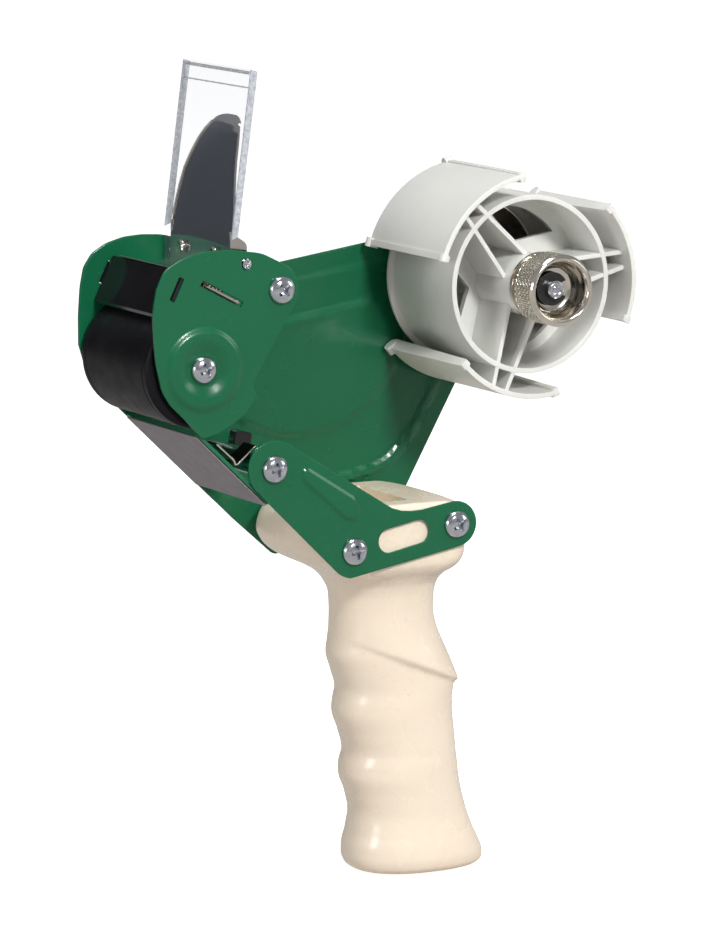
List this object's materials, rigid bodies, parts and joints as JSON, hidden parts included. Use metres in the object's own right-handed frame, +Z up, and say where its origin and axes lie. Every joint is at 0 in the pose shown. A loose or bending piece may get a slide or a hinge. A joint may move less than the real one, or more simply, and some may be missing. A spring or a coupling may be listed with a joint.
{
  "type": "tape dispenser",
  "caption": "Hand-held pistol-grip dispenser for parcel tape: side plates with roller, blade and sprung shield, braked core hub with a knurled tension knob, moulded grip.",
  "frame": {"origin": "centre of the flat butt face of the grip", "axes": "+Z up the grip to the shield, +X from the roller towards the hub, +Y from the open side, where the knob is, to the main side plate"},
  "size_m": [0.1808, 0.0789, 0.275],
  "materials": {
    "green": "gloss",
    "cream": "gloss",
    "grey": "matte",
    "zinc": "bright zinc plating",
    "nickel": "bright nickel plating",
    "steel": "satin",
    "rubber": "matte",
    "black_plastic": "gloss",
    "hub_plastic": "satin",
    "fibre": "matte",
    "film": "clear, gloss"
  },
  "bodies": {
    "frame": {"main_frame": "green", "side_cover": "green", "handle_bracket": "green", "guard_pad": "grey", "handle": "cream", "roller_axle": "zinc", "tie_bar": "zinc", "bracket_post": "zinc", "grip_sleeve_front": "zinc", "grip_sleeve_rear": "zinc", "screw_roller": "zinc", "screw_tie": "zinc", "screw_post": "zinc", "screw_grip_front": "zinc", "screw_grip_rear": "zinc", "cross_plate": "black_plastic", "blade_holder": "steel", "blade": "steel", "spring_strip": "nickel", "spring_anchor": "black_plastic", "hub_axle": "zinc", "axle_nut": "zinc", "brake_washer": "fibre", "friction_washer": "steel", "tension_spring": "steel", "retaining_clip": "black_plastic", "shield_rod": "zinc"},
    "roller": {"roller_core": "black_plastic", "roller_sleeve": "rubber"},
    "core_hub": {"hub": "hub_plastic", "brake_disc": "steel"},
    "brake_carrier": {"pressure_washer": "nickel"},
    "knob": {"tension_knob": "nickel"},
    "shield": {"shield_tongue": "steel", "shield_film": "film", "shield_rivet_near": "nickel", "shield_rivet_far": "nickel", "torsion_spring_near": "steel", "torsion_spring_far": "steel"}
  },
  "joints": [
    {"name": "roller_spin", "type": "hinge", "parent": "frame", "child": "roller", "pos_m": [-0.0927, 0, 0.1788], "axis": [0, 1, 0], "continuous": true},
    {"name": "hub_spin", "type": "hinge", "parent": "frame", "child": "core_hub", "pos_m": [0.0305, 0, 0.1993], "axis": [0, 1, 0], "continuous": true},
    {"name": "brake_slide", "type": "slide", "parent": "frame", "child": "brake_carrier", "axis": [0, 1, 0], "range_m": [-0.00017, 0.001], "deforming": ["tension_spring"]},
    {"name": "knob_turn", "type": "hinge", "parent": "brake_carrier", "child": "knob", "pos_m": [0.0305, 0, 0.1993], "axis": [0, 1, 0], "range_deg": [-60, 360]},
    {"name": "shield_tilt", "type": "hinge", "parent": "frame", "child": "shield", "pos_m": [-0.0771, 0, 0.2123], "axis": [0, 1, 0], "range_deg": [0, 40], "stiffness_Nm_per_rad": 0.03, "springref_deg": -28.65, "deforming": ["torsion_spring_near", "torsion_spring_far"]}
  ],
  "couplings": [
    {"joint": "knob_turn", "follows": "brake_slide", "rad_per_m": 6283}
  ]
}
